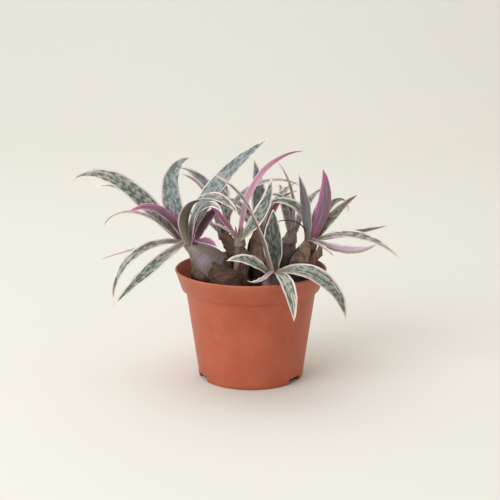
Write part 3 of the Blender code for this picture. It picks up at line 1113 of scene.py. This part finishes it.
for number, (bulb_node, low, high, heading, span, flare) in enumerate(DRY_SCALES):
    scale = wrap(f"dry_scale_{number}", stacks[bulb_node], low, high, math.radians(heading),
                 math.radians(span), *SCALE_GRID, SCALE_LIFT, still, ragged=0.10, seed=100 + number,
                 flare=flare * MM, wall=SCALE_WALL)
    dress(scale, dry_scrap)
print(f"{len(DRY_SCALES)} dry scales made")

# %% [markdown]
# ### The old stalk
#
# One dry flower stalk is left from an earlier season. It arches from the right bulb towards the
# middle. A path curve with a round bevel makes it, thinner towards its end, and is turned into a
# mesh.


# %% The old stalk
STALK_THICKNESS = 1.2 * MM
STALK_ROUTE = [(45, 6, 109), (44, 4, 118), (38, 3, 125), (28, 3, 127), (19, 4, 124), (13, 6, 118)]


def stalk(name, route, thickness, finish):
    """A round stalk along a smooth path through points in millimetres, thinner at its far end."""
    bpy.ops.object.select_all(action="DESELECT")
    bpy.ops.curve.primitive_nurbs_path_add()
    made = bpy.context.object
    made.name = name
    line = made.data.splines[0]
    line.points.add(len(route) - len(line.points))
    for number, (point, place) in enumerate(zip(line.points, route)):
        point.co = (*(value * MM for value in place), 1)
        point.radius = 1 - 0.5 * number / (len(route) - 1)
    made.data.bevel_depth = thickness / 2
    made.data.bevel_resolution = 2
    made.data.use_fill_caps = True
    bpy.ops.object.convert(target="MESH")
    bpy.ops.object.transform_apply(location=True, rotation=True, scale=True)
    return dress(bpy.context.object, finish)


stalk("dry_stalk", STALK_ROUTE, STALK_THICKNESS, brown_tunic)
print(f"one stalk made, {STALK_THICKNESS / MM:.1f} mm thick")

# %% [markdown]
# ## Soil
#
# Potting soil is dark, damp and crumbly: a rough bed, heaped a little round each bulb, with loose
# crumbs and coir fibres on it. The bed is a fine disc whose edge is carried down inside the pot, so
# that it also shows through the drain notches. The crumbs are many copies of one small lump.

# %% The soil's surface
_, soil_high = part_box("potting_soil")
BED_DROP = 1.3 * MM
LUMPS = ((1.3 * MM, 110), (0.8 * MM, 330), (0.5 * MM, 900))
HEAP_HEIGHT = 3.6 * MM
HEAP_REACH = 4.5 * MM


def soil_height(x, y):
    """The bed's surface: lumps of three sizes, and a heap round each bulb's foot."""
    here = Vector((x, y, 0))
    height = soil_high.z - BED_DROP
    for size, scale in LUMPS:
        height += size * noise.noise(here * scale)
    for rings in stacks.values():
        away = math.hypot(x - rings[1][0], y - rings[1][1]) - rings[1][3]
        height += HEAP_HEIGHT * math.exp(-((max(away, 0) / HEAP_REACH) ** 2))
    return height


print(f"at the pot's middle the soil is {soil_height(0, 0) / MM:.1f} mm up")

# %% [markdown]
# ### The bed
#
# A square grid is squeezed into a disc, so its cells stay even all over. Its rim is then extruded
# down the inside of the pot in three steps, and the last ring is filled, which closes the body.

# %% Shape the bed
SOIL_COLUMNS = 170
SOIL_RADIUS = 54.2 * MM
INSIDE_RINGS = ((53.6 * MM, LEDGE + 2.2 * MM), (49.9 * MM, LEDGE), (FOOT - 2.2 * MM, 1.9 * MM))
bed = grid_object("soil_bed", SOIL_COLUMNS, SOIL_COLUMNS)
bed_points = []
for row in range(SOIL_COLUMNS + 1):
    for column in range(SOIL_COLUMNS + 1):
        u, v = 2 * column / SOIL_COLUMNS - 1, 2 * row / SOIL_COLUMNS - 1
        x = SOIL_RADIUS * u * math.sqrt(1 - v * v / 2)
        y = SOIL_RADIUS * v * math.sqrt(1 - u * u / 2)
        bed_points.append((x, y, soil_height(x, y)))
put_points(bed.data, bed_points)
bpy.ops.object.mode_set(mode="EDIT")
bpy.ops.mesh.select_mode(type="EDGE")
bpy.ops.mesh.select_all(action="DESELECT")
bpy.ops.mesh.select_non_manifold()
ring_radius = SOIL_RADIUS
for radius, height in INSIDE_RINGS:
    bpy.ops.mesh.extrude_edges_move(TRANSFORM_OT_translate={"value": (0, 0, 0)})
    bpy.ops.transform.resize(value=(radius / ring_radius, radius / ring_radius, 0),
                             center_override=(0, 0, height))
    ring_radius = radius
bpy.ops.mesh.edge_face_add()
bpy.ops.mesh.select_all(action="SELECT")
bpy.ops.mesh.normals_make_consistent(inside=False)
bpy.ops.object.mode_set(mode="OBJECT")

print(f"{len(bed.data.polygons)} faces in the bed")

# %% [markdown]
# ### Soil finish
#
# Damp soil is dark brown, with pale flecks of coir and perlite dust. Its colour follows the same noise as its
# bump, nearly black in the hollows and brown on the lumps, so the dark hollows are painted shade. It scarcely
# shines, so its roughness is high everywhere.

# %% Soil finish
CLOD_DEPTH = 0.0006
soil_finish = Finish("damp_soil", Specular_IOR_Level=0.25)
spot = soil_finish.place()
lumps = soil_finish.noise(spot, 420, 5, 0.7)
flecks = soil_finish.noise(spot, 1500, 2)
# Painted shade: the colour darkens where the bump's lumps sink into hollows.
earth_with_painted_shade = lumps.step(0.3, 0.7).mix(linear(30, 21, 17), linear(66, 47, 37))
earth_with_painted_shade = (flecks.step(0.66, 0.72) * 0.7).mix(earth_with_painted_shade, linear(122, 92, 70))
soil_finish.set(Base_Color=earth_with_painted_shade, Roughness=0.82 + lumps * 0.15)
soil_finish.bump(lumps, CLOD_DEPTH, 0.9)
dress(bed, soil_finish)
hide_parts("potting_soil")
print("the bed stands for the frame's soil")

# %% [markdown]
# ### Crumbs, fibres and strips
#
# Loose soil is thousands of small lumps. One lump and one fibre are modelled, and each copy gets
# its own mesh, turned, sized and set on the bed. The copies are then joined in one piece, so the
# scene stays light.

# %% One crumb
CRUMB_ROUGHNESS = 0.28
bpy.ops.object.select_all(action="DESELECT")
bpy.ops.mesh.primitive_ico_sphere_add(subdivisions=1, radius=1)
one_crumb = bpy.context.object
bpy.ops.object.mode_set(mode="EDIT")
bpy.ops.mesh.select_all(action="SELECT")
bpy.ops.transform.vertex_random(offset=CRUMB_ROUGHNESS, seed=3)
bpy.ops.transform.resize(value=(1, 0.85, 0.7))
bpy.ops.object.mode_set(mode="OBJECT")
print(f"a crumb has {len(one_crumb.data.polygons)} faces")

# %% One fibre
FIBRE_JOINTS = (0.33, -0.33)
FIBRE_BEND = 0.35
bpy.ops.mesh.primitive_cylinder_add(vertices=3, radius=0.05, depth=2, end_fill_type="TRIFAN")
one_fibre = bpy.context.object
bpy.ops.object.mode_set(mode="EDIT")
for joint in FIBRE_JOINTS:
    bpy.ops.mesh.select_all(action="SELECT")
    bpy.ops.mesh.bisect(plane_co=(0, 0, joint), plane_no=(0, 0, 1))
bpy.ops.object.mode_set(mode="OBJECT")
for vert in one_fibre.data.vertices:
    vert.co.x += FIBRE_BEND * vert.co.z ** 2
print(f"a fibre has {len(one_fibre.data.polygons)} faces")

# %% [markdown]
# ### Copies over the bed
#
# Each copy falls on a place inside the rim, is sized and turned, and sinks a little into the
# surface there. A crumb may lie any way up, but a fibre lies almost flat. Copies from one seeded
# draw come out the same every time.


# %% Scatter copies
COPY_LIFT = 0.25
draw = random.Random(4)


def scatter(name, model, count, reach, size, turn):
    """Copies of a model, each with its own mesh, laid over the bed and joined in one piece."""
    copies = []
    while len(copies) < count:
        x, y = draw.uniform(-reach, reach), draw.uniform(-reach, reach)
        if math.hypot(x, y) > reach:
            continue
        one = model.copy()
        one.data = model.data.copy()
        scale = size()
        place = Matrix.Translation((x, y, soil_height(x, y) + COPY_LIFT * scale))
        one.data.transform(place @ turn().to_matrix().to_4x4() @ Matrix.Scale(scale, 4))
        bpy.context.collection.objects.link(one)
        copies.append(one)
    bpy.ops.object.select_all(action="DESELECT")
    for one in copies:
        one.select_set(True)
    bpy.context.view_layer.objects.active = copies[0]
    bpy.ops.object.join()
    copies[0].name = name
    bpy.data.objects.remove(model, do_unlink=True)
    return copies[0]


print("a model can be scattered over the bed")

# %% Crumbs
CRUMB_COUNT = 1500
CRUMB_REACH = 52.5 * MM
LARGEST_CRUMB = 1.6 * MM


def crumb_size():
    """Many small crumbs and few large ones."""
    return draw.uniform(0.35, 1.0) ** 2 * LARGEST_CRUMB


def any_turn():
    return Euler([draw.uniform(0, math.tau) for _ in range(3)])


crumbs = scatter("soil_crumbs", one_crumb, CRUMB_COUNT, CRUMB_REACH, crumb_size, any_turn)
dress(crumbs, soil_finish, smooth=False)
print(f"{len(crumbs.data.polygons)} faces of crumbs")

# %% Fibres
FIBRE_COUNT = 200
FIBRE_REACH = 50 * MM
FIBRE_HALF_LENGTH = (1.6, 4.2)
LYING_TILT = 0.3


def fibre_size():
    return draw.uniform(*FIBRE_HALF_LENGTH) * MM


def lying_turn():
    """Turned any way on the bed, and tilted a little from flat."""
    pitch = math.pi / 2 + draw.uniform(-LYING_TILT, LYING_TILT)
    return Euler((pitch, draw.uniform(-LYING_TILT, LYING_TILT), draw.uniform(0, math.tau)))


fibre_finish = Finish("coir_fibre", 0.8)
fibre_tone = fibre_finish.noise(fibre_finish.place(), 300, 2)
fibre_finish.set(Base_Color=fibre_tone.mix(linear(84, 58, 42), linear(150, 116, 88)))
fibres = scatter("coir_fibres", one_fibre, FIBRE_COUNT, FIBRE_REACH, fibre_size, lying_turn)
dress(fibres, fibre_finish)
print(f"{len(fibres.data.polygons)} faces of fibres")

# %% [markdown]
# ### Dry strips
#
# Old leaves and tunics break up into thin curled strips. One strip is a narrow grid that snakes
# over the bed, rolls as it goes and lifts at its far end. Solidify gives it the thickness of paper.
# Each row of the list gives the strip's foot, heading, length, width and lift, in millimetres and
# degrees.


# %% One dry strip
STRIP_ROWS = 16
STRIP_ACROSS = (-1, -0.5, 0, 0.5, 1)
STRIP_WALL = 0.16 * MM
SNAKE_WIDTH = 2.0 * MM
FOOT_LIFT = 0.6
ROLL = 0.8
HOLLOW = 0.35


def dry_strip(name, x, y, heading, length, width, lift):
    """A curled strip of old leaf: it lies on the bed at its foot, and its end stands lift above the bed."""
    turn = math.radians(heading)
    forward = Vector((math.cos(turn), math.sin(turn), 0))
    side = Vector((-forward.y, forward.x, 0))
    points, around_mm, up_mm = [], [], []
    for row in range(STRIP_ROWS + 1):
        share = row / STRIP_ROWS
        middle = Vector((x, y, 0)) * MM + forward * length * MM * share
        middle.z = soil_height(middle.x, middle.y) + (FOOT_LIFT + lift * share ** 1.6) * MM
        middle += side * SNAKE_WIDTH * math.sin(share * 4 + x)
        roll = ROLL * math.sin(share * 5 + y)
        tilted = side * math.cos(roll) + Vector((0, 0, math.sin(roll)))
        half = width / 2 * MM * (0.35 + math.sin(math.pi * min(share + 0.15, 1)) * 0.65)
        for t in STRIP_ACROSS:
            points.append(middle + tilted * half * t + Vector((0, 0, HOLLOW * half * t * t)))
            around_mm.append(width * t)
            up_mm.append(length * share)
    strip = grid_object(name, len(STRIP_ACROSS) - 1, STRIP_ROWS)
    put_points(strip.data, points)
    add_values(strip.data, "around_mm", around_mm)
    add_values(strip.data, "up_mm", up_mm)
    add_values(strip.data, "tint", [0.01 * heading] * len(points))
    apply_modifier(strip, "SOLIDIFY", thickness=STRIP_WALL, offset=1)
    return dress(strip, dry_scrap)


print(f"a strip has {STRIP_ROWS} rows")

# %% Dry strips
DRY_STRIPS = [
    (-47, -14, -100, 9, 3.0, 9), (-42, -22, 20, 16, 2.4, 3), (-50, -4, -80, 14, 2.0, 6),
    (-38, -30, 60, 13, 2.6, 5), (-30, -44, 150, 12, 2.0, 2), (44, -14, 30, 13, 2.4, 5),
    (2, -42, 170, 15, 2.2, 2), (30, 44, 200, 14, 2.6, 4), (-24, 40, -30, 16, 2.4, 3),
    (-44, 22, 80, 13, 2.2, 5),
]
for number, strip_values in enumerate(DRY_STRIPS):
    dry_strip(f"dry_strip_{number}", *strip_values)
print(f"{len(DRY_STRIPS)} dry strips made")

# %% [markdown]
# ## Studio
#
# A sweep of pale paper has no corner, so the floor runs into the backdrop without a line. A large
# soft light from the upper left shapes the pot, and the pale room around it fills the shadows.

# %% Sweep
SWEEP_ROWS = 40
SWEEP_FRONT = -3.0
SWEEP_FLOOR = 1.5
SWEEP_CURVE = 1.2
SWEEP_HALF_WIDTH = 4.0
FLOOR_SHARE = 0.5


def sweep_line(share):
    """The paper's place back and up: flat to the floor's end, then a tall quarter of an oval."""
    if share < FLOOR_SHARE:
        return SWEEP_FRONT + (SWEEP_FLOOR - SWEEP_FRONT) * share / FLOOR_SHARE, 0
    bend = (share - FLOOR_SHARE) * math.pi
    return SWEEP_FLOOR + SWEEP_CURVE * math.sin(bend), SWEEP_CURVE * (1 - math.cos(bend)) * 2


sweep = grid_object("sweep", 1, SWEEP_ROWS)
sweep_rows = [sweep_line(row / SWEEP_ROWS) for row in range(SWEEP_ROWS + 1)]
put_points(sweep.data, [(side * SWEEP_HALF_WIDTH, y, z) for y, z in sweep_rows for side in (-1, 1)])
sweep.data.shade_smooth()
paper = Finish("pale_sweep", 0.9)
paper.set(Base_Color=linear(229, 228, 223))
sweep.data.materials.append(paper.material)
print(f"the sweep is {2 * SWEEP_HALF_WIDTH} m wide")

# %% [markdown]
# ### Light
#
# The key is large and near, from the upper left, so its shadow is soft and falls to the right. A
# wide light high above keeps the leaves bright, and the pale, slightly warm room fills what neither
# reaches.

# %% Lights
ROOM_STRENGTH = 0.50
LIT_POINT = Vector((0, 0, 0.1))
world = bpy.data.worlds.new("studio")
bpy.context.scene.world = world
world.use_nodes = True
room = world.node_tree.nodes["Background"]
room.inputs["Color"].default_value = (*linear(255, 249, 238), 1)
room.inputs["Strength"].default_value = ROOM_STRENGTH


def soft_light(name, place, size, power, colour):
    """A square light that faces the plant."""
    bpy.ops.object.light_add(type="AREA", location=place)
    light = bpy.context.object
    light.name = name
    light.data.size = size
    light.data.energy = power
    light.data.color = colour
    towards = LIT_POINT - Vector(place)
    light.rotation_euler = towards.to_track_quat("-Z", "Y").to_euler()


soft_light("key", (-1.3, -1.2, 1.15), 1.6, 26, (0.95, 0.98, 1.0))
soft_light("top", (-0.3, 0.9, 2.8), 3.6, 50, (1.0, 0.99, 0.96))
bpy.context.scene.view_settings.view_transform = "Standard"
print("two lights and a pale room")
